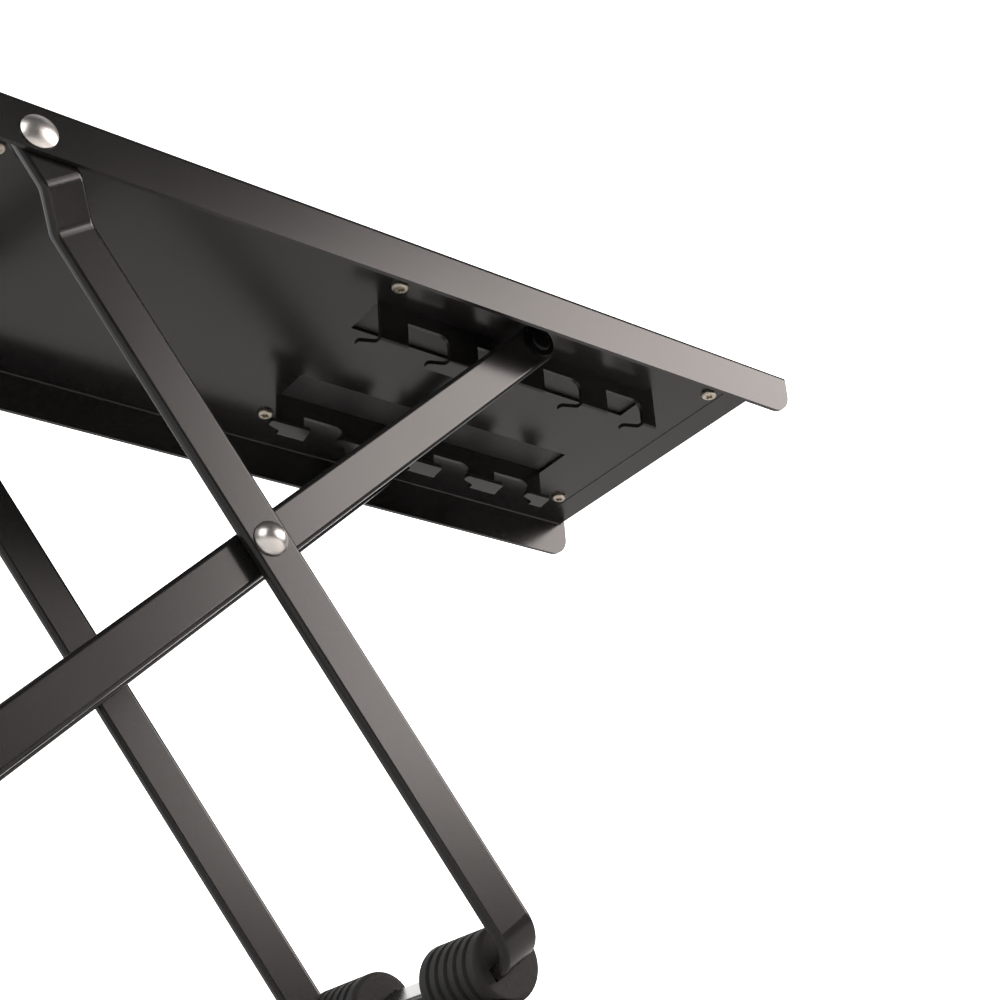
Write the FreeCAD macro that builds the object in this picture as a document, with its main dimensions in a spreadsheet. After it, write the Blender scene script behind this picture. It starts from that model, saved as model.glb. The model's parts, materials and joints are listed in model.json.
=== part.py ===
import FreeCAD, Part
import os
import Sketcher

# Folding foot rest with a four-step height rack under a sheet-steel top.
# X runs along the top, Y across it, Z up. The floor is Z = 0.

doc = FreeCAD.newDocument("FootRest")
sizes = doc.addObject("Spreadsheet::Sheet", "Sizes")

SIZE_LIST = [
    ("plateLength", "250", "top plate, end to end"),
    ("plateWidth", "110", "top plate, outside of one side flange to the other"),
    ("sheet", "1.2", "sheet steel thickness"),
    ("flangeDrop", "12", "side flange below the underside of the plate"),
    ("flangeCorner", "6.5", "rounding of the flange ends"),
    ("endShort", "1.9", "flange end to plate end"),
    ("beadFromEnd", "10.8", "flange end to the bead across the plate"),
    ("beadRadius", "0.55", "pressed bead across each end"),
    ("beadHigh", "0.25", "bead below the underside"),
    ("beadGap", "0.8", "bead end to flange"),
    ("rackLength", "95.8", "length of each notched web"),
    ("rackFromEnd", "30.2", "plate end to rack"),
    ("rackInset", "25.9", "flange to the outer face of the web"),
    ("openingDepth", "15.2", "opening left where the web was folded down"),
    ("webDrop", "12.2", "web below the underside of the plate"),
    ("firstTooth", "8.8", "width of the tooth nearest the hinge"),
    ("notchPitch", "22.9", "notch to notch"),
    ("notchWidth", "13.4", "width of a notch"),
    ("notchTop", "4.4", "underside of the plate to the top of a notch"),
    ("notchCorner", "3", "rounded seat in a notch"),
    ("lipReach", "6.6", "folded lip, outer face of web to free edge"),
    ("hookReach", "4.6", "sideways reach of the hook on a lip"),
    ("hookNeck", "1.2", "web to the start of the hook, and its curve radius"),
    ("rodRadius", "2.75", "latch rod"),
    ("tenonRadius", "2.2", "end of the latch rod, through the legs"),
    ("screwInset", "17.4", "flange to tread screw"),
    ("screwFromEnd", "15", "plate end to the outer tread screws"),
    ("screwRadius", "1.5", "tread screw shank"),
    ("screwHead", "2.3", "tread screw head radius"),
    ("screwHeadHigh", "1.3", "tread screw head height"),
    ("screwBite", "2.6", "depth of the screw in the tread board"),
    ("hingeFromEnd", "19", "plate end to hinge"),
    ("hingeDrop", "7", "underside of the plate to hinge"),
    ("upperOuter", "103.7", "cross pivot to hinge, outer frame"),
    ("upperInner", "118.1", "cross pivot to latch rod, inner frame"),
    ("lowerOuter", "108", "cross pivot to foot bar, outer frame"),
    ("barWidth", "11.2", "flat bar width"),
    ("barThick", "3.2", "flat bar thickness"),
    ("barEdge", "1.2", "rounding of the flat bar edges"),
    ("outerInset", "7.6", "flange outside to the outer face of the outer legs"),
    ("frameGap", "1", "gap between outer and inner legs"),
    ("flangeGap", "0.3", "gap between flange and leg end"),
    ("jogFlat", "12", "hinge to the start of the jog in the outer leg"),
    ("jogLength", "9", "length of the jog"),
    ("jogBend", "4", "bend radius of the jog"),
    ("footBend", "6", "inside bend radius at the foot bars"),
    ("rivetRadius", "2.5", "rivet shank"),
    ("rivetHead", "4.2", "cross rivet head radius"),
    ("rivetDome", "3.1", "cross rivet head height"),
    ("hingeHead", "4.4", "hinge rivet head radius"),
    ("hingeDome", "1.8", "hinge rivet head height"),
    ("tailHigh", "1.4", "closed end of a rivet"),
    ("runGap", "0.05", "running clearance of a pivot, on the radius"),
    ("sideGap", "0.1", "side clearance of a pivot"),
    ("washerRadius", "5.2", "washers"),
    ("washerThick", "0.8", "hinge and rod washers"),
    ("footRadius", "9", "rubber foot sleeve"),
    ("footLength", "24", "length of a rubber foot sleeve"),
    ("footFlat", "1", "flat on the bottom of a sleeve"),
    ("boardThick", "4", "tread board"),
    ("boardInset", "6", "flange to tread board"),
    ("boardCorner", "5", "corner of the tread board"),
    ("matThick", "1.6", "rubber mat without its ribs"),
    ("matInset", "9", "flange to rubber mat"),
    ("ribHigh", "0.8", "rib on the mat"),
    ("ribWide", "2.4", "rib width"),
    ("ribCount", "19", "number of ribs"),
]

DERIVED = [
    ("rodSpot", "=plateLength / 2 - rackFromEnd - rackLength + firstTooth + notchPitch"
                " + notchWidth - notchCorner"),
    ("rodDrop", "=notchTop + notchCorner"),
    ("hingeSpot", "=hingeFromEnd - plateLength / 2"),
    ("spanAlong", "=rodSpot - hingeSpot"),
    ("spanUp", "=hingeDrop - rodDrop"),
    ("span", "=sqrt(spanAlong ^ 2 + spanUp ^ 2)"),
    ("hingeAngle", "=acos((upperOuter ^ 2 + span ^ 2 - upperInner ^ 2) / (2 * upperOuter * span))"),
    ("outerAngle", "=hingeAngle - atan2(spanUp; spanAlong)"),
    ("crossSpot", "=hingeSpot + upperOuter * cos(outerAngle)"),
    ("crossDrop", "=hingeDrop + upperOuter * sin(outerAngle)"),
    ("innerAngle", "=atan2(crossDrop - rodDrop; rodSpot - crossSpot)"),
    ("lowerInner", "=lowerOuter * sin(outerAngle) / sin(innerAngle)"),
    ("footHigh", "=footRadius - footFlat"),
    ("crossHigh", "=footHigh + lowerOuter * sin(outerAngle)"),
    ("underside", "=crossHigh + crossDrop"),
    ("footLeft", "=footRadius + lowerInner * cos(innerAngle) - crossSpot"),
    ("plateMiddle", "=(max(footLeft; plateLength / 2) - plateLength / 2) / 2"),
    ("crossMiddle", "=plateMiddle + crossSpot"),
    ("outerFootMiddle", "=crossMiddle + lowerOuter * cos(outerAngle)"),
    ("innerFootMiddle", "=crossMiddle - lowerInner * cos(innerAngle)"),
    ("legFace", "=plateWidth / 2 - outerInset"),
    ("innerFace", "=legFace - barThick - frameGap"),
    ("hingeFace", "=plateWidth / 2 - sheet - flangeGap"),
    ("outerFootSpot", "=legFace - barThick - footBend - footLength / 2"),
    ("innerFootSpot", "=innerFace - barThick - footBend - footLength / 2"),
    ("rackLeft", "=plateLength / 2 - rackFromEnd - rackLength"),
    ("rackRight", "=plateLength / 2 - rackFromEnd"),
    ("webFace", "=plateWidth / 2 - rackInset"),
]

row = 1
for name, value, note in SIZE_LIST:
    sizes.set("A%d" % row, name)
    sizes.set("B%d" % row, value)
    sizes.set("C%d" % row, note)
    sizes.setAlias("B%d" % row, name)
    row += 1
doc.recompute()
for name, formula in DERIVED:
    sizes.set("A%d" % row, name)
    sizes.set("B%d" % row, formula)
    sizes.setAlias("B%d" % row, name)
    row += 1
    doc.recompute()

ALIASES = [entry[0] for entry in SIZE_LIST] + [entry[0] for entry in DERIVED]


def words(text):
    # turn plain size names into spreadsheet references
    out = ""
    word = ""
    for letter in text + " ":
        if letter.isalnum() or letter == "_":
            word += letter
            continue
        out += ("Sizes." + word) if word in ALIASES else word
        word = ""
        out += letter
    return out.strip()


def value(text):
    result = sizes.evalExpression(words(text))
    return float(getattr(result, "Value", result))


def bind(thing, prop, text):
    thing.setExpression(prop, words(text))


def newBody(label, x="0", y="0", z="0", turn=None):
    body = doc.addObject("PartDesign::Body", label)
    body.Label = label
    if turn is not None:
        spin = FreeCAD.Rotation(FreeCAD.Vector(0, 1, 0), value(turn))
        body.Placement = FreeCAD.Placement(FreeCAD.Vector(0, 0, 0), spin)
        bind(body, "Placement.Rotation.Angle", turn)
    bind(body, "Placement.Base.x", x)
    bind(body, "Placement.Base.y", y)
    bind(body, "Placement.Base.z", z)
    return body


def newSketch(body, name, plane, lift=None, turn=None):
    sketch = body.newObject("Sketcher::SketchObject", name)
    support = [o for o in body.Origin.OriginFeatures if o.Role == plane][0]
    sketch.AttachmentSupport = [(support, "")]
    sketch.MapMode = "FlatFace"
    if turn is not None:
        spin = FreeCAD.Rotation(FreeCAD.Vector(0, 0, 1), value(turn))
        sketch.AttachmentOffset = FreeCAD.Placement(FreeCAD.Vector(0, 0, 0), spin)
        bind(sketch, "AttachmentOffset.Rotation.Angle", turn)
    if lift is not None:
        bind(sketch, "AttachmentOffset.Base.z", lift)
    return sketch


def addPolygon(sketch, corners):
    spots = [FreeCAD.Vector(value(a), value(b), 0) for a, b in corners]
    first = sketch.GeometryCount
    total = len(spots)
    for i in range(total):
        sketch.addGeometry(Part.LineSegment(spots[i], spots[(i + 1) % total]), False)
    for i in range(total):
        sketch.addConstraint(
            Sketcher.Constraint("Coincident", first + i, 2, first + (i + 1) % total, 1))
    for i in range(total):
        for kind, text, number in (("DistanceX", corners[i][0], spots[i].x),
                                   ("DistanceY", corners[i][1], spots[i].y)):
            k = sketch.addConstraint(Sketcher.Constraint(kind, -1, 1, first + i, 1, number))
            tag = "%s%d" % ("across" if kind == "DistanceX" else "up", first + i)
            sketch.renameConstraint(k, tag)
            bind(sketch, "Constraints." + tag, text)


def addCircle(sketch, across, up, radius):
    middle = FreeCAD.Vector(value(across), value(up), 0)
    normal = FreeCAD.Vector(0, 0, 1)
    g = sketch.addGeometry(Part.Circle(middle, normal, value(radius)), False)
    entries = (("DistanceX", middle.x, "across", across), ("DistanceY", middle.y, "up", up))
    for kind, number, tag, text in entries:
        k = sketch.addConstraint(Sketcher.Constraint(kind, -1, 1, g, 3, number))
        sketch.renameConstraint(k, "%s%d" % (tag, g))
        bind(sketch, "Constraints.%s%d" % (tag, g), text)
    k = sketch.addConstraint(Sketcher.Constraint("Radius", g, value(radius)))
    sketch.renameConstraint(k, "radius%d" % g)
    bind(sketch, "Constraints.radius%d" % g, radius)


def pad(body, name, sketch, length, bothWays=False, reverse=False):
    feature = body.newObject("PartDesign::Pad", name)
    feature.Profile = sketch
    bind(feature, "Length", length)
    feature.Length = value(length)
    if bothWays:
        feature.SideType = "Symmetric"
    feature.Reversed = reverse
    sketch.Visibility = False
    doc.recompute()
    return feature


def pocket(body, name, sketch, length=None, bothWays=True, reverse=False):
    before = body.Tip.Shape.Volume
    feature = body.newObject("PartDesign::Pocket", name)
    feature.Profile = sketch
    if bothWays:
        feature.SideType = "Symmetric"
    if length is None:
        feature.Type = "ThroughAll"
    else:
        bind(feature, "Length", length)
        feature.Length = value(length)
    feature.Reversed = reverse
    sketch.Visibility = False
    doc.recompute()
    if feature.Shape.Volume > before - 1e-6:
        raise RuntimeError(name + " removed nothing")
    return feature


def roundEdges(body, name, test, radius):
    base = body.Tip
    picked = ["Edge%d" % (i + 1) for i, edge in enumerate(base.Shape.Edges) if test(edge)]
    if not picked:
        raise RuntimeError(name + " found no edge")
    feature = body.newObject("PartDesign::Fillet", name)
    feature.Base = (base, picked)
    feature.Radius = value(radius)
    bind(feature, "Radius", radius)
    doc.recompute()
    if feature.Shape.isNull() or not feature.Shape.isValid() or "Invalid" in feature.State:
        raise RuntimeError("%s failed on %s" % (name, picked))
    return feature


def near(a, b, slack=0.02):
    return abs(a - b) < slack


def runsAlong(edge, axis):
    if edge.Curve.TypeId != "Part::GeomLine":
        return False
    d = edge.tangentAt(edge.FirstParameter)
    return abs(getattr(d, axis)) > 0.999


def box(x0, x1, y0, y1):
    return [(x0, y0), (x1, y0), (x1, y1), (x0, y1)]


# ---------------------------------------------------------------- top plate
plate = newBody("top_plate", "plateMiddle", "0", "underside")
deck = newSketch(plate, "deckOutline", "XY_Plane")
addPolygon(deck, box("endShort - plateLength / 2", "plateLength / 2 - endShort",
                     "-plateWidth / 2", "plateWidth / 2"))
pad(plate, "deck", deck, "sheet")

for side, sign, back in (("front", "", True), ("back", "-", False)):
    flange = newSketch(plate, side + "FlangeOutline", "XZ_Plane", sign + "plateWidth / 2")
    addPolygon(flange, box("-plateLength / 2", "plateLength / 2", "-flangeDrop", "sheet"))
    pad(plate, side + "Flange", flange, "sheet", reverse=back)

half = value("plateLength") / 2
drop = value("flangeDrop")
wide = value("plateWidth") / 2
skin = value("sheet")
roundEdges(plate, "flangeEnds",
           lambda e: runsAlong(e, "y") and near(abs(e.CenterOfMass.x), half)
           and near(e.CenterOfMass.z, -drop), "flangeCorner")
roundEdges(plate, "flangeBend",
           lambda e: runsAlong(e, "x") and near(abs(e.CenterOfMass.y), wide)
           and near(e.CenterOfMass.z, skin), "sheet * 1.4")
roundEdges(plate, "flangeBendInside",
           lambda e: runsAlong(e, "x") and near(abs(e.CenterOfMass.y), wide - skin)
           and near(e.CenterOfMass.z, 0), "sheet * 0.5")

beads = newSketch(plate, "beadOutline", "XZ_Plane")
for side in ("", "-"):
    addCircle(beads, side + "(plateLength / 2 - beadFromEnd)", "beadRadius - beadHigh", "beadRadius")
pad(plate, "beads", beads, "plateWidth - 2 * (sheet + beadGap)", bothWays=True)

openings = newSketch(plate, "rackOpeningOutline", "XY_Plane")
addPolygon(openings, box("rackLeft", "rackRight", "webFace - openingDepth", "webFace - sheet"))
addPolygon(openings, box("rackLeft", "rackRight", "sheet - webFace", "openingDepth - webFace"))
pocket(plate, "rackOpenings", openings)

NOTCHES = 4
comb = [("rackLeft", "sheet"), ("rackRight", "sheet"), ("rackRight", "-webDrop")]
for n in reversed(range(NOTCHES)):
    left = "rackLeft + firstTooth + %d * notchPitch" % n
    right = left + " + notchWidth"
    comb += [(right, "-webDrop"), (right, "-notchTop"), (left, "-notchTop"), (left, "-webDrop")]
comb.append(("rackLeft", "-webDrop"))

for side, sign, back in (("front", "", True), ("back", "-", False)):
    web = newSketch(plate, side + "WebOutline", "XZ_Plane", sign + "webFace")
    addPolygon(web, comb)
    pad(plate, side + "Web", web, "sheet", reverse=back)
    lips = newSketch(plate, side + "LipOutline", "XY_Plane", "-webDrop")
    out = "-webFace" if side == "front" else "webFace"
    way = "+" if side == "front" else "-"
    for n in range(NOTCHES + 1):
        left = "rackLeft"
        if n > 0:
            left = "rackLeft + firstTooth + %d * notchPitch + notchWidth" % (n - 1)
        right = "rackRight"
        if n < NOTCHES:
            right = "rackLeft + firstTooth + %d * notchPitch" % n
        addPolygon(lips, [(left, out), (right, out),
                          (right + " - 0.8", out + way + "lipReach"),
                          (left + " - hookReach", out + way + "lipReach"),
                          (left + " - hookReach", out + way + "lipReach * 0.62"),
                          (left, out + way + "(sheet + hookNeck)")])
    pad(plate, side + "Lips", lips, "sheet")

notchRights = [value("rackLeft + firstTooth + %d * notchPitch + notchWidth" % n)
               for n in range(NOTCHES)]
notchRoof = value("notchTop")
roundEdges(plate, "notchSeats",
           lambda e: runsAlong(e, "y") and near(e.CenterOfMass.z, -notchRoof)
           and min(abs(e.CenterOfMass.x - x) for x in notchRights) < 0.02, "notchCorner")
hookTips = [x - value("hookReach") for x in notchRights + [value("rackLeft")]]
hookRoots = notchRights + [value("rackLeft")]
bendLine = value("webFace - lipReach * 0.62")
rootLine = value("webFace - sheet - hookNeck")
freeLine = value("webFace - lipReach")


def hookCorner(edge):
    if not runsAlong(edge, "z"):
        return False
    spot = edge.CenterOfMass
    if near(abs(spot.y), bendLine) and min(abs(spot.x - x) for x in hookTips) < 0.02:
        return True
    return near(abs(spot.y), rootLine) and min(abs(spot.x - x) for x in hookRoots) < 0.02


roundEdges(plate, "hookCurves", hookCorner, "hookNeck")
roundEdges(plate, "hookTips",
           lambda e: runsAlong(e, "z") and near(abs(e.CenterOfMass.y), freeLine), "0.8")
webLine = value("webFace")
roundEdges(plate, "webBends",
           lambda e: runsAlong(e, "x") and near(abs(e.CenterOfMass.y), webLine)
           and near(e.CenterOfMass.z, -value("webDrop")), "sheet * 0.6")

screwSpots = []
for along in ("-(plateLength / 2 - screwFromEnd)", "0", "plateLength / 2 - screwFromEnd"):
    for across in ("-(plateWidth / 2 - screwInset)", "plateWidth / 2 - screwInset"):
        screwSpots.append((along, across))
screwHoles = newSketch(plate, "screwHoleOutline", "XY_Plane")
for along, across in screwSpots:
    addCircle(screwHoles, along, across, "screwRadius")
pocket(plate, "screwHoles", screwHoles)
hingeHoles = newSketch(plate, "hingeHoleOutline", "XZ_Plane")
addCircle(hingeHoles, "hingeSpot", "-hingeDrop", "rivetRadius + runGap")
pocket(plate, "hingeHoles", hingeHoles)

# -------------------------------------------------------------------- tread
board = newBody("tread_board", "plateMiddle", "0", "underside + sheet")
boardFace = newSketch(board, "boardOutline", "XY_Plane")
addPolygon(boardFace, box("beadFromEnd + 1 - plateLength / 2", "plateLength / 2 - beadFromEnd - 1",
                          "boardInset - plateWidth / 2", "plateWidth / 2 - boardInset"))
pad(board, "boardSlab", boardFace, "boardThick")
roundEdges(board, "boardCorners", lambda e: runsAlong(e, "z"), "boardCorner")
boardTop = value("boardThick")
roundEdges(board, "boardRim", lambda e: near(e.CenterOfMass.z, boardTop), "0.8")
pilots = newSketch(board, "pilotOutline", "XY_Plane")
for along, across in screwSpots:
    addCircle(pilots, along, across, "screwRadius")
pocket(board, "pilotHoles", pilots, "screwBite", bothWays=False, reverse=True)

mat = newBody("rubber_mat", "plateMiddle", "0", "underside + sheet + boardThick")
matFace = newSketch(mat, "matOutline", "XY_Plane")
addPolygon(matFace, box("beadFromEnd + 4 - plateLength / 2", "plateLength / 2 - beadFromEnd - 4",
                        "matInset - plateWidth / 2", "plateWidth / 2 - matInset"))
pad(mat, "matSheet", matFace, "matThick")
roundEdges(mat, "matCorners", lambda e: runsAlong(e, "z"), "boardCorner - 1")
rib = newSketch(mat, "ribOutline", "XY_Plane", "matThick")
firstRib = "matInset + 2 - plateWidth / 2"
addPolygon(rib, box("beadFromEnd + 8 - plateLength / 2", "plateLength / 2 - beadFromEnd - 8",
                    firstRib, firstRib + " + ribWide"))
ribPad = pad(mat, "rib", rib, "ribHigh")
ribs = mat.newObject("PartDesign::LinearPattern", "ribs")
ribs.Originals = [ribPad]
ribs.Direction = (rib, ["V_Axis"])
ribs.Mode = "Extent"
bind(ribs, "Length", "plateWidth - 2 * matInset - 4 - ribWide")
ribs.Occurrences = int(value("ribCount"))
bind(ribs, "Occurrences", "ribCount")
mat.Tip = ribs
doc.recompute()

for number, (along, across) in enumerate(screwSpots):
    screw = newBody("tread_screw_%d" % (number + 1), "plateMiddle + " + along, across, "underside")
    head = newSketch(screw, "headOutline", "XY_Plane")
    addCircle(head, "0", "0", "screwHead")
    pad(screw, "head", head, "screwHeadHigh", reverse=True)
    low = value("screwHeadHigh")
    roundEdges(screw, "headDome", lambda e: near(e.CenterOfMass.z, -low), "screwHeadHigh * 0.6")
    shank = newSketch(screw, "shankOutline", "XY_Plane")
    addCircle(shank, "0", "0", "screwRadius")
    pad(screw, "shank", shank, "sheet + screwBite")
    cross = newSketch(screw, "crossOutline", "XY_Plane", "-screwHeadHigh")
    arm = "screwHead * 0.5"
    slot = "screwHead * 0.19"
    addPolygon(cross, [("-" + slot, "-" + arm), (slot, "-" + arm), (slot, "-" + slot),
                       (arm, "-" + slot), (arm, slot), (slot, slot), (slot, arm),
                       ("-" + slot, arm), ("-" + slot, slot), ("-" + arm, slot),
                       ("-" + arm, "-" + slot), ("-" + slot, "-" + slot)])
    pocket(screw, "crossRecess", cross, "screwHeadHigh * 0.6", bothWays=False, reverse=True)


# ------------------------------------------------------------------- frames
def barEdges(edge):
    wall = value("barWidth") / 2
    if not near(abs(edge.CenterOfMass.z), wall, 0.01):
        return False
    return all(near(abs(v.Point.z), wall, 0.01) for v in edge.Vertexes)


outer = newBody("outer_frame", "crossMiddle", "0", "crossHigh", "outerAngle")
outline = newSketch(outer, "outerBarOutline", "XY_Plane")
tip = "-(upperOuter + barWidth / 2)"
knee = "jogFlat - upperOuter"
ankle = "jogFlat + jogLength - upperOuter"
toe = "lowerOuter + barThick / 2"
outerHalf = [(tip, "hingeFace"), (knee, "hingeFace"), (ankle, "legFace"), (toe, "legFace")]
innerHalf = [("lowerOuter - barThick / 2", "(legFace - barThick)"),
             (ankle + " - barThick * 0.3", "(legFace - barThick)"),
             (knee + " - barThick * 0.3", "(hingeFace - barThick)"),
             (tip, "(hingeFace - barThick)")]
ring = list(outerHalf)
ring += [(a, "-" + b) for a, b in reversed(outerHalf)]
ring += [(a, "-" + b) for a, b in reversed(innerHalf)]
ring += innerHalf
addPolygon(outline, ring)
pad(outer, "outerBar", outline, "barWidth", bothWays=True)
outerEnd = -value("upperOuter + barWidth / 2")
toeSpot = value(toe)
heelSpot = value("lowerOuter - barThick / 2")
joints = [value(text) for text in (knee, ankle, knee + " - barThick * 0.3",
                                   ankle + " - barThick * 0.3")]
roundEdges(outer, "outerFootBends",
           lambda e: runsAlong(e, "z") and near(e.CenterOfMass.x, toeSpot), "footBend + barThick")
roundEdges(outer, "innerFootBends",
           lambda e: runsAlong(e, "z") and near(e.CenterOfMass.x, heelSpot), "footBend")
roundEdges(outer, "jogBends",
           lambda e: runsAlong(e, "z") and min(abs(e.CenterOfMass.x - x) for x in joints) < 0.02,
           "jogBend")
roundEdges(outer, "legEnds",
           lambda e: runsAlong(e, "y") and near(e.CenterOfMass.x, outerEnd), "barWidth / 2 - 0.1")
roundEdges(outer, "barRounding", barEdges, "barEdge")
pins = newSketch(outer, "outerHoleOutline", "XZ_Plane")
addCircle(pins, "0", "0", "rivetRadius")
addCircle(pins, "-upperOuter", "0", "rivetRadius")
pocket(outer, "outerHoles", pins)

inner = newBody("inner_frame", "crossMiddle", "0", "crossHigh", "180 deg - innerAngle")
outline = newSketch(inner, "innerBarOutline", "XY_Plane")
tip = "-(upperInner + barWidth / 2)"
toe = "lowerInner + barThick / 2"
heel = "lowerInner - barThick / 2"
addPolygon(outline, [(tip, "innerFace"), (toe, "innerFace"), (toe, "-innerFace"),
                     (tip, "-innerFace"), (tip, "-(innerFace - barThick)"),
                     (heel, "-(innerFace - barThick)"), (heel, "innerFace - barThick"),
                     (tip, "innerFace - barThick")])
pad(inner, "innerBar", outline, "barWidth", bothWays=True)
innerEnd = -value("upperInner + barWidth / 2")
toeSpot = value(toe)
heelSpot = value(heel)
roundEdges(inner, "outerFootBends",
           lambda e: runsAlong(e, "z") and near(e.CenterOfMass.x, toeSpot), "footBend + barThick")
roundEdges(inner, "innerFootBends",
           lambda e: runsAlong(e, "z") and near(e.CenterOfMass.x, heelSpot), "footBend")
roundEdges(inner, "legEnds",
           lambda e: runsAlong(e, "y") and near(e.CenterOfMass.x, innerEnd), "barWidth / 2 - 0.1")
roundEdges(inner, "barRounding", barEdges, "barEdge")
pins = newSketch(inner, "pivotHoleOutline", "XZ_Plane")
addCircle(pins, "0", "0", "rivetRadius + runGap")
addCircle(pins, "-upperInner", "0", "tenonRadius")
pocket(inner, "innerHoles", pins)


# ----------------------------------------------------- rivets, washers, rod
def disc(body, name, radius, start, thick, outward):
    # start and thick are measured away from the middle of the foot rest
    sketch = newSketch(body, name + "Outline", "XZ_Plane",
                       "-(%s)" % start if outward == "back" else start)
    addCircle(sketch, "0", "0", radius)
    return pad(body, name, sketch, thick, reverse=(outward == "back"))


for side in ("front", "back"):
    sign = -1 if side == "front" else 1
    rivet = newBody("cross_rivet_" + side, "crossMiddle", "0", "crossHigh")
    disc(rivet, "shank", "rivetRadius", "innerFace - barThick - sideGap",
         "2 * barThick + frameGap + sideGap", side)
    disc(rivet, "dome", "rivetHead", "legFace", "rivetDome", side)
    crown = sign * value("legFace + rivetDome")
    roundEdges(rivet, "domeRounding", lambda e: near(e.CenterOfMass.y, crown), "rivetDome - 0.1")
    disc(rivet, "tail", "rivetHead", "innerFace - barThick - sideGap - tailHigh", "tailHigh", side)
    crown = sign * value("innerFace - barThick - sideGap - tailHigh")
    roundEdges(rivet, "tailRounding", lambda e: near(e.CenterOfMass.y, crown), "tailHigh * 0.7")

    washer = newBody("cross_washer_" + side, "crossMiddle", "0", "crossHigh")
    disc(washer, "ringDisc", "washerRadius", "innerFace + sideGap", "frameGap - sideGap", side)
    bore = newSketch(washer, "boreOutline", "XZ_Plane")
    addCircle(bore, "0", "0", "rivetRadius")
    pocket(washer, "bore", bore)

    rivet = newBody("hinge_rivet_" + side, "plateMiddle + hingeSpot", "0", "underside - hingeDrop")
    disc(rivet, "shank", "rivetRadius", "hingeFace - barThick - washerThick",
         "barThick + washerThick + flangeGap + sheet + sideGap", side)
    disc(rivet, "dome", "hingeHead", "plateWidth / 2 + sideGap", "hingeDome", side)
    crown = sign * value("plateWidth / 2 + sideGap + hingeDome")
    roundEdges(rivet, "domeRounding", lambda e: near(e.CenterOfMass.y, crown), "hingeDome - 0.1")
    disc(rivet, "tail", "rivetHead", "hingeFace - barThick - washerThick - tailHigh",
         "tailHigh", side)
    crown = sign * value("hingeFace - barThick - washerThick - tailHigh")
    roundEdges(rivet, "tailRounding", lambda e: near(e.CenterOfMass.y, crown), "tailHigh * 0.7")

    washer = newBody("hinge_washer_" + side, "plateMiddle + hingeSpot", "0",
                     "underside - hingeDrop")
    disc(washer, "ringDisc", "washerRadius", "hingeFace - barThick - washerThick",
         "washerThick", side)
    bore = newSketch(washer, "boreOutline", "XZ_Plane")
    addCircle(bore, "0", "0", "rivetRadius")
    pocket(washer, "bore", bore)

    washer = newBody("rod_washer_" + side, "plateMiddle + rodSpot", "0", "underside - rodDrop")
    disc(washer, "ringDisc", "washerRadius - 0.6", "innerFace", "washerThick", side)
    bore = newSketch(washer, "boreOutline", "XZ_Plane")
    addCircle(bore, "0", "0", "tenonRadius")
    pocket(washer, "bore", bore)

rod = newBody("latch_rod", "plateMiddle + rodSpot", "0", "underside - rodDrop")
main = newSketch(rod, "rodOutline", "XZ_Plane")
addCircle(main, "0", "0", "rodRadius")
pad(rod, "rodBar", main, "2 * (innerFace - barThick)", bothWays=True)
tenon = newSketch(rod, "tenonOutline", "XZ_Plane")
addCircle(tenon, "0", "0", "tenonRadius")
pad(rod, "tenons", tenon, "2 * (innerFace + washerThick)", bothWays=True)
for side in ("front", "back"):
    disc(rod, side + "Button", "tenonRadius + 0.9", "innerFace + washerThick", "0.9", side)
buttonFace = value("innerFace + washerThick + 0.9")
roundEdges(rod, "buttonRounding", lambda e: near(abs(e.CenterOfMass.y), buttonFace), "0.7")

# --------------------------------------------------------------------- feet
for frame, middle, lean in (("outer", "outerFootMiddle", "-outerAngle"),
                            ("inner", "innerFootMiddle", "innerAngle")):
    for side, sign in (("front", "-"), ("back", "")):
        foot = newBody("%s_foot_%s" % (frame, side), middle, sign + frame + "FootSpot", "footHigh")
        sleeve = newSketch(foot, "sleeveOutline", "XZ_Plane")
        addCircle(sleeve, "0", "0", "footRadius")
        pad(foot, "sleeve", sleeve, "footLength", bothWays=True)
        endFace = value("footLength") / 2
        roundEdges(foot, "sleeveRounding", lambda e: near(abs(e.CenterOfMass.y), endFace), "1.5")
        flat = newSketch(foot, "flatOutline", "XZ_Plane")
        addPolygon(flat, box("-footRadius - 1", "footRadius + 1", "-footRadius - 1", "-footHigh"))
        pocket(foot, "flat", flat)
        slit = newSketch(foot, "slitOutline", "XZ_Plane", turn=lean)
        addPolygon(slit, box("-barThick / 2", "barThick / 2", "-barWidth / 2", "barWidth / 2"))
        pocket(foot, "slit", slit)

doc.recompute()

# ------------------------------------------------------------------- export
os.makedirs("parts", exist_ok=True)
for thing in doc.Objects:
    if "Invalid" in thing.State or "Error" in thing.State:
        raise RuntimeError("%s is %s" % (thing.Name, thing.State))
bodies = [thing for thing in doc.Objects if thing.TypeId == "PartDesign::Body"]
for body in bodies:
    shape = body.Shape
    if shape.isNull() or not shape.isValid() or not shape.Solids:
        raise RuntimeError(body.Label + " has no good shape")
    shape.exportStep("parts/%s.step" % body.Label)
    size = shape.BoundBox
    print("%-20s %d solid %9.1f mm3  %6.1f %6.1f %6.1f" % (
        body.Label, len(shape.Solids), shape.Volume, size.XLength, size.YLength, size.ZLength))
for name in ("outerAngle", "innerAngle", "lowerInner", "crossHigh", "underside", "plateMiddle"):
    print(name, round(value(name), 3))
print("parts written:", len(bodies))
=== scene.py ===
import json
import math
import bmesh
import bpy
from mathutils import Matrix, Vector


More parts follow.
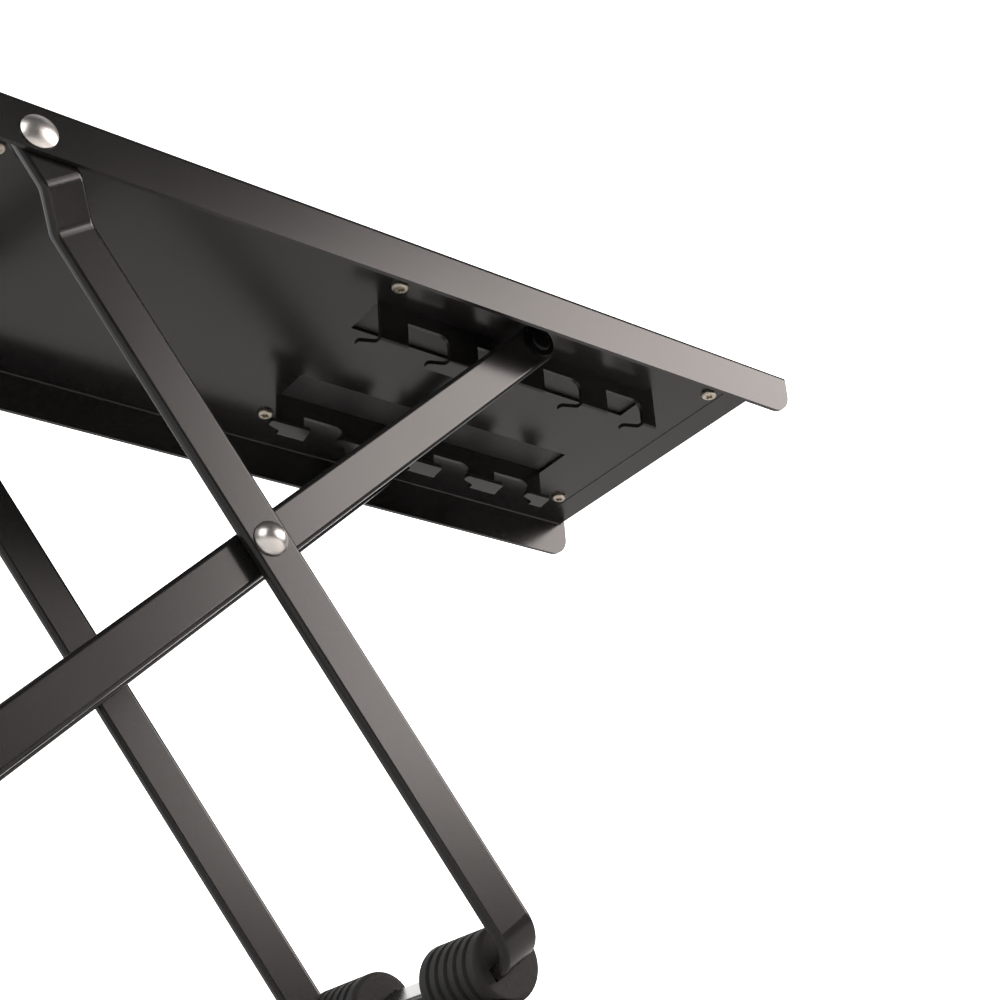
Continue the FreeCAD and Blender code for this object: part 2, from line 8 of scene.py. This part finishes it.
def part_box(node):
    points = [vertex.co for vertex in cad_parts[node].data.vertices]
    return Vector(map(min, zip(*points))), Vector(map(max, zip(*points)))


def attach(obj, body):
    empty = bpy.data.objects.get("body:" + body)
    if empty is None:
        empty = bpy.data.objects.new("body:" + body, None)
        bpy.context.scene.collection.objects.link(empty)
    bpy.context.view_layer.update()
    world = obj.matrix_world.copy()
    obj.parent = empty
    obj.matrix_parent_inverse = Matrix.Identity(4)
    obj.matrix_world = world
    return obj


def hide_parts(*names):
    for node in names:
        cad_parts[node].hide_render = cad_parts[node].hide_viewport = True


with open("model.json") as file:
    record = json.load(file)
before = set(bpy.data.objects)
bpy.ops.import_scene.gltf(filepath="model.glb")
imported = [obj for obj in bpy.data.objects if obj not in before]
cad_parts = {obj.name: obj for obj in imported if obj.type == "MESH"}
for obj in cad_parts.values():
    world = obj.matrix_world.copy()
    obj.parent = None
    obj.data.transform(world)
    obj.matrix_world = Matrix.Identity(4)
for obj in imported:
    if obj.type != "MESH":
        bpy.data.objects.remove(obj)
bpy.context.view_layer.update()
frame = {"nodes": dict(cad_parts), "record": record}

nodes = frame["nodes"]


# shader maths as expressions
class Wire:
    def __init__(self, tree, socket):
        self.tree = tree
        self.socket = socket

    def maths(self, operation, other):
        node = self.tree.nodes.new("ShaderNodeMath")
        node.operation = operation
        for spot, item in enumerate((self, other)):
            if isinstance(item, Wire):
                self.tree.links.new(item.socket, node.inputs[spot])
            else:
                node.inputs[spot].default_value = item
        return Wire(self.tree, node.outputs[0])

    def __add__(self, other):
        return self.maths("ADD", other)

    __radd__ = __add__

    def __mul__(self, other):
        return self.maths("MULTIPLY", other)

    __rmul__ = __mul__


class Shader:
    def __init__(self, name):
        self.material = bpy.data.materials.new(name)
        self.material.use_nodes = True
        self.tree = self.material.node_tree
        self.tree.nodes.clear()
        self.coords = self.node("ShaderNodeTexCoord")["Object"]

    def node(self, kind, settings=None, **values):
        # values go to sockets by name, with _ for a space, or by number as _0
        made = self.tree.nodes.new(kind)
        for key, setting in (settings or {}).items():
            if key == "stops":
                self.setStops(made.color_ramp, setting)
            else:
                setattr(made, key, setting)
        for key, item in values.items():
            socket = made.inputs[int(key[1:])] if key[1:].isdigit() else made.inputs[key.replace("_", " ")]
            if isinstance(item, Wire):
                self.tree.links.new(item.socket, socket)
            else:
                socket.default_value = item
        return {out.name: Wire(self.tree, out) for out in made.outputs if out.enabled}

    def setStops(self, ramp, stops):
        while len(ramp.elements) < len(stops):
            ramp.elements.new(0.5)
        for element, (place, shade) in zip(ramp.elements, stops):
            element.position = place
            element.color = (shade, shade, shade, 1)

    def noise(self, scale, detail=2.0, roughness=0.5):
        return self.node("ShaderNodeTexNoise", Vector=self.coords, Scale=scale,
                         Detail=detail, Roughness=roughness)["Fac"]

    def ramp(self, wire, *stops):
        return self.node("ShaderNodeValToRGB", {"stops": stops}, Fac=wire)["Color"]

    def mix(self, factor, low, high):
        return self.node("ShaderNodeMix", {"data_type": "RGBA"}, _0=factor,
                         _6=(*low, 1), _7=(*high, 1))["Result"]

    def bump(self, height, strength, distance, normal=None):
        extra = {"Normal": normal} if normal else {}
        return self.node("ShaderNodeBump", Height=height, Strength=strength, Distance=distance,
                         **extra)["Normal"]

    def finish(self, **values):
        surface = self.node("ShaderNodeBsdfPrincipled", **values)["BSDF"]
        output = self.tree.nodes.new("ShaderNodeOutputMaterial")
        self.tree.links.new(surface.socket, output.inputs["Surface"])
        return self.material


def powderCoat():
    # satin black, with a faint orange peel and a finer speck on it
    coat = dict(dark=(0.0085, 0.0082, 0.0082), light=(0.0135, 0.013, 0.0125), cloud=24,
                peel=700, peelBump=0.07, peelHigh=0.00008, speck=3200, speckBump=0.06, speckHigh=0.00004,
                rough=0.17, cloudRough=0.08, speckRough=0.05, ior=1.43)
    s = Shader("blackPowderCoat")
    cloud = s.noise(coat["cloud"], 3)
    peel = s.noise(coat["peel"], 2, 0.55)
    speck = s.noise(coat["speck"], 1, 0.5)
    colour = s.mix(s.ramp(cloud, (0.35, 0.0), (0.7, 1.0)), coat["dark"], coat["light"])
    rough = coat["rough"] + coat["cloudRough"] * cloud + coat["speckRough"] * speck
    fine = s.bump(speck, coat["speckBump"], coat["speckHigh"])
    skin = s.bump(peel, coat["peelBump"], coat["peelHigh"], fine)
    return s.finish(Base_Color=colour, Roughness=rough, Normal=skin, IOR=coat["ior"])


def bareMetal(name, tint, rough, scratch):
    metal = dict(grain=2600, grainHigh=0.00004, cloud=160, cloudRough=0.16, dull=0.82)
    s = Shader(name)
    grain = s.noise(metal["grain"], 2, 0.6)
    cloud = s.noise(metal["cloud"], 3)
    colour = s.mix(s.ramp(cloud, (0.3, 0.0), (0.75, 1.0)), [c * metal["dull"] for c in tint], tint)
    return s.finish(Base_Color=colour, Metallic=1.0, Roughness=rough + metal["cloudRough"] * cloud,
                    Normal=s.bump(grain, scratch, metal["grainHigh"]))


def blackSteel():
    steel = dict(dark=(0.010, 0.010, 0.0105), light=(0.022, 0.021, 0.021), metallic=0.85,
                 grain=2400, grainBump=0.12, grainHigh=0.00004, cloud=200, rough=0.34, cloudRough=0.2)
    s = Shader("blackenedSteel")
    grain = s.noise(steel["grain"], 2, 0.6)
    cloud = s.noise(steel["cloud"], 3)
    return s.finish(Base_Color=s.mix(cloud, steel["dark"], steel["light"]), Metallic=steel["metallic"],
                    Roughness=steel["rough"] + steel["cloudRough"] * cloud,
                    Normal=s.bump(grain, steel["grainBump"], steel["grainHigh"]))


def rubber():
    skin = dict(dark=(0.014, 0.014, 0.014), light=(0.026, 0.025, 0.024), cloud=40, ior=1.45,
                grain=1500, grainBump=0.35, grainHigh=0.00012, rough=0.62, grainRough=0.2)
    s = Shader("blackRubber")
    grain = s.noise(skin["grain"], 3, 0.6)
    cloud = s.noise(skin["cloud"], 3)
    return s.finish(Base_Color=s.mix(cloud, skin["dark"], skin["light"]), IOR=skin["ior"],
                    Roughness=skin["rough"] + skin["grainRough"] * grain,
                    Normal=s.bump(grain, skin["grainBump"], skin["grainHigh"]))


def boardPlastic():
    board = dict(dark=(0.020, 0.020, 0.021), light=(0.034, 0.033, 0.033), cloud=60,
                 grain=2200, grainBump=0.25, grainHigh=0.0001, rough=0.5, grainRough=0.14)
    s = Shader("mouldedBoard")
    grain = s.noise(board["grain"], 2, 0.5)
    cloud = s.noise(board["cloud"], 3)
    return s.finish(Base_Color=s.mix(cloud, board["dark"], board["light"]),
                    Roughness=board["rough"] + board["grainRough"] * grain,
                    Normal=s.bump(grain, board["grainBump"], board["grainHigh"]))


finishes = {
    "black_powder_coat": powderCoat(),
    "rivet_steel": bareMetal("polishedRivet", (0.88, 0.85, 0.82), rough=0.23, scratch=0.10),
    "screw_steel": bareMetal("platedScrew", (0.56, 0.51, 0.43), rough=0.26, scratch=0.14),
    "black_steel": blackSteel(),
    "rubber": rubber(),
    "board_plastic": boardPlastic(),
}
print("materials made")

for part in frame["record"]["subparts"]:
    piece = nodes[part["node"]]
    piece.data.materials.clear()
    piece.data.materials.append(finishes[part["material_slot"]])
print("finishes on", len(nodes), "nodes")


def newPiece(name, mesh, body, slotName, *stands):
    # finish a bmesh as one object at the origin, with its creases marked
    creaseAngle = math.radians(38)
    data = bpy.data.meshes.new(name)
    bmesh.ops.recalc_face_normals(mesh, faces=mesh.faces)
    for edge in mesh.edges:
        edge.smooth = edge.calc_face_angle(0) < creaseAngle
    mesh.to_mesh(data)
    mesh.free()
    piece = bpy.data.objects.new(name, data)
    bpy.context.collection.objects.link(piece)
    data.materials.append(finishes[slotName])
    for face in data.polygons:
        face.use_smooth = True
    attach(piece, body)
    if stands:
        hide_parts(*stands)
    return piece


def spunProfile(mesh, points, steps):
    # points are (radius, height) along local Z; the first and last lie on the axis
    verts = [mesh.verts.new((radius, 0, height)) for radius, height in points]
    edges = [mesh.edges.new(pair) for pair in zip(verts, verts[1:])]
    bmesh.ops.spin(mesh, geom=verts + edges, cent=(0, 0, 0), axis=(0, 0, 1), angle=math.tau,
                   steps=steps, use_merge=True, use_duplicate=False)
    bmesh.ops.remove_doubles(mesh, verts=mesh.verts, dist=1e-6)


def dome(radius, height, turns):
    # a shallow ball cap from its rim to its crown, as (radius, height)
    ball = (radius ** 2 + height ** 2) / (2 * height)
    rise = math.asin(radius / ball)
    angles = [rise * (1 - i / turns) for i in range(turns + 1)]
    return [(ball * math.sin(a), ball * math.cos(a) - ball + height) for a in angles]


barThick = 0.0032  # the leg bars
headPlay = 0.0001  # between the flange and a hinge rivet's head
headSeats = {
    "cross_rivet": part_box("cross_washer_back")[1][1] + barThick,
    "hinge_rivet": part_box("top_plate")[1][1] + headPlay,
}


def makeRivet(node):
    rivet = dict(edge=0.00035, shank=0.0025, tail=0.0014, tailRadius=0.0042,
                 domeTurns=14, tailTurns=8, steps=56)
    low, high = (Vector(c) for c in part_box(node))
    out = 1 if high.y > 0 else -1
    inner, outer = (low.y, high.y) if out > 0 else (-high.y, -low.y)
    radius = (high.z - low.z) / 2
    seat = headSeats[node.rsplit("_", 1)[0]]
    capHigh = rivet["tail"] - rivet["edge"]
    cap = dome(rivet["tailRadius"], capHigh, rivet["tailTurns"])
    crown = dome(radius, outer - seat - rivet["edge"], rivet["domeTurns"])
    points = [(0, inner)]
    points += [(r, inner + capHigh - h) for r, h in reversed(cap[:-1])]
    points += [(rivet["tailRadius"], inner + rivet["tail"]), (rivet["shank"], inner + rivet["tail"]),
               (rivet["shank"], seat), (radius, seat)]
    points += [(r, seat + rivet["edge"] + h) for r, h in crown[:-1]]
    points += [(0, outer)]
    mesh = bmesh.new()
    spunProfile(mesh, points, rivet["steps"])
    centre = (low + high) / 2
    turn = Matrix.Rotation(-math.pi / 2 * out, 4, "X")
    bmesh.ops.transform(mesh, matrix=Matrix.Translation((centre.x, 0, centre.z)) @ turn, verts=mesh.verts)
    newPiece(node + "_domed", mesh, "outer", "rivet_steel", node)


for side in ("front", "back"):
    makeRivet("cross_rivet_" + side)
    makeRivet("hinge_rivet_" + side)
print("rivets turned")


def softenEdges(piece, width):
    soft = dict(weld=0.00002, steps=2, angle=32)
    weld = piece.modifiers.new("weld", "WELD")
    weld.merge_threshold = soft["weld"]
    bevel = piece.modifiers.new("softEdges", "BEVEL")
    bevel.width = width
    bevel.segments = soft["steps"]
    bevel.limit_method = "ANGLE"
    bevel.angle_limit = math.radians(soft["angle"])
    bevel.use_clamp_overlap = True
    piece.data.polygons.foreach_set("use_smooth", [True] * len(piece.data.polygons))
    trim = piece.modifiers.new("evenShade", "WEIGHTED_NORMAL")
    trim.keep_sharp = True


edgeWidths = {"rubber_mat": 0.0003, "tread_board": 0.0003}
edgeWidths.update({"tread_screw_" + str(number + 1): 0.00012 for number in range(6)})
for node, width in edgeWidths.items():
    softenEdges(nodes[node], width)
print("edges softened")


def makeFoot(node, body):
    # a copy of the plain sleeve with grip grooves pressed round it
    foot = dict(grooves=5, pitch=0.0037, width=0.0017, cuts=(-1, -0.5, 0.5, 1), floorShare=0.3,
                depth=0.0007, core=0.0075, merge=0.00002, soft=0.0002)
    low, high = (Vector(c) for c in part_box(node))
    radius = (high.x - low.x) / 2
    axis = Vector(((low.x + high.x) / 2, 0, high.z - radius))
    mesh = bmesh.new()
    mesh.from_mesh(nodes[node].data)
    bmesh.ops.remove_doubles(mesh, verts=mesh.verts, dist=foot["merge"])
    for number in range(foot["grooves"]):
        middle = (low.y + high.y) / 2 + (number - (foot["grooves"] - 1) / 2) * foot["pitch"]
        for cut in foot["cuts"]:
            geometry = mesh.verts[:] + mesh.edges[:] + mesh.faces[:]
            spot = middle + cut * foot["width"] / 2
            bmesh.ops.bisect_plane(mesh, geom=geometry, plane_co=(0, spot, 0), plane_no=(0, 1, 0))
        for vert in mesh.verts:
            out = Vector((vert.co.x - axis.x, 0, vert.co.z - axis.z))
            if abs(vert.co.y - middle) < foot["width"] * foot["floorShare"] and out.length > foot["core"]:
                vert.co -= out.normalized() * foot["depth"]
    piece = newPiece(node + "_grooved", mesh, body, "rubber", node)
    softenEdges(piece, foot["soft"])


for legPair in ("outer", "inner"):
    for side in ("front", "back"):
        makeFoot(legPair + "_foot_" + side, legPair)
print("feet grooved")


def makeFloor():
    # solid round the object, fading out far from it, and clear from below
    floor = dict(reach=1.6, solid=0.75, drop=0.0004,
                 colour=(0.86, 0.855, 0.845), dull=0.97, grain=60, rough=0.7)
    bpy.ops.mesh.primitive_plane_add(size=2 * floor["reach"], location=(0, 0, -floor["drop"]))
    plane = bpy.context.object
    plane.name = "floor"
    s = Shader("paleFloor")
    grain = s.noise(floor["grain"], 4)
    colour = s.mix(grain, floor["colour"], [c * floor["dull"] for c in floor["colour"]])
    matt = s.node("ShaderNodeBsdfPrincipled", Roughness=floor["rough"], Base_Color=colour)["BSDF"]
    clear = s.node("ShaderNodeBsdfTransparent")["BSDF"]
    behind = s.node("ShaderNodeNewGeometry")["Backfacing"]
    away = s.node("ShaderNodeVectorMath", {"operation": "LENGTH"}, _0=s.coords)["Value"]
    fade = s.node("ShaderNodeMapRange", {"interpolation_type": "SMOOTHSTEP"}, Value=away,
                  From_Min=floor["solid"], From_Max=floor["reach"])["Result"]
    both = s.node("ShaderNodeMixShader", _0=behind.maths("MAXIMUM", fade), _1=matt, _2=clear)["Shader"]
    output = s.tree.nodes.new("ShaderNodeOutputMaterial")
    s.tree.links.new(both.socket, output.inputs["Surface"])
    plane.data.materials.append(s.material)


def makeWorld():
    # white where the camera sees it; for the light, dim in front and bright behind
    sky = dict(seen=3.0, front=0.07, back=0.95, turn=(-0.05, 0.55))
    world = bpy.data.worlds.new("studio")
    bpy.context.scene.world = world
    world.use_nodes = True
    tree = world.node_tree
    tree.nodes.clear()
    path = tree.nodes.new("ShaderNodeLightPath")
    coords = tree.nodes.new("ShaderNodeTexCoord")
    split = tree.nodes.new("ShaderNodeSeparateXYZ")
    fade = tree.nodes.new("ShaderNodeMapRange")
    fade.interpolation_type = "SMOOTHSTEP"
    for spot, number in enumerate((*sky["turn"], sky["front"], sky["back"])):
        fade.inputs[spot + 1].default_value = number
    seen = tree.nodes.new("ShaderNodeBackground")
    seen.inputs["Strength"].default_value = sky["seen"]
    glow = tree.nodes.new("ShaderNodeBackground")
    both = tree.nodes.new("ShaderNodeMixShader")
    output = tree.nodes.new("ShaderNodeOutputWorld")
    tree.links.new(coords.outputs["Generated"], split.inputs[0])
    tree.links.new(split.outputs["Y"], fade.inputs["Value"])
    tree.links.new(fade.outputs["Result"], glow.inputs["Strength"])
    tree.links.new(path.outputs["Is Camera Ray"], both.inputs[0])
    tree.links.new(glow.outputs[0], both.inputs[1])
    tree.links.new(seen.outputs[0], both.inputs[2])
    tree.links.new(both.outputs[0], output.inputs["Surface"])


def softLight(name, aim, place, size, power, tint=(1, 1, 1)):
    lamp = bpy.data.lights.new(name, "AREA")
    lamp.shape = "RECTANGLE"
    lamp.size, lamp.size_y = size
    lamp.energy = power
    lamp.color = tint
    holder = bpy.data.objects.new(name, lamp)
    bpy.context.collection.objects.link(holder)
    holder.location = place
    holder.rotation_euler = (Vector(aim) - Vector(place)).to_track_quat("-Z", "Y").to_euler()


def makeCamera():
    shot = dict(place=(-0.19296, -0.34016, -0.07206), turn=(117.70, 3.46, -35.36), lens=59.57, sensor=36,
                nearest=0.01)
    lens = bpy.data.cameras.new("camera")
    lens.lens = shot["lens"]
    lens.sensor_width = shot["sensor"]
    lens.clip_start = shot["nearest"]
    camera = bpy.data.objects.new("camera", lens)
    bpy.context.collection.objects.link(camera)
    camera.location = shot["place"]
    camera.rotation_euler = [math.radians(a) for a in shot["turn"]]
    bpy.context.scene.camera = camera


middle = (0, 0, 0.12)
studio = {
    "keyLight": dict(place=(0.88, -0.79, 0.69), size=(0.98, 0.58), power=13.2, tint=(1.0, 0.91, 0.87)),
    "fillLight": dict(place=(0.74, -1.00, 0.72), size=(1.30, 0.70), power=3.2, tint=(1.0, 0.93, 0.89)),
    "sideLight": dict(place=(-1.05, -0.70, 0.75), size=(0.8, 0.9), power=6, tint=(1.0, 0.97, 0.94)),
    "topLight": dict(place=(0.1, 0.3, 1.1), size=(1.0, 1.0), power=0.8),
    "backLight": dict(place=(0.65, 1.05, 0.55), size=(1.1, 0.8), power=5, tint=(1.0, 0.97, 0.94)),
    "backSideLight": dict(place=(-0.90, 0.95, 0.45), size=(0.9, 0.8), power=3.5, tint=(0.96, 0.98, 1.0)),
}
makeFloor()
makeWorld()
for name, light in studio.items():
    softLight(name, middle, **light)
bpy.context.scene.view_settings.view_transform = "Standard"
makeCamera()
print("stage set")
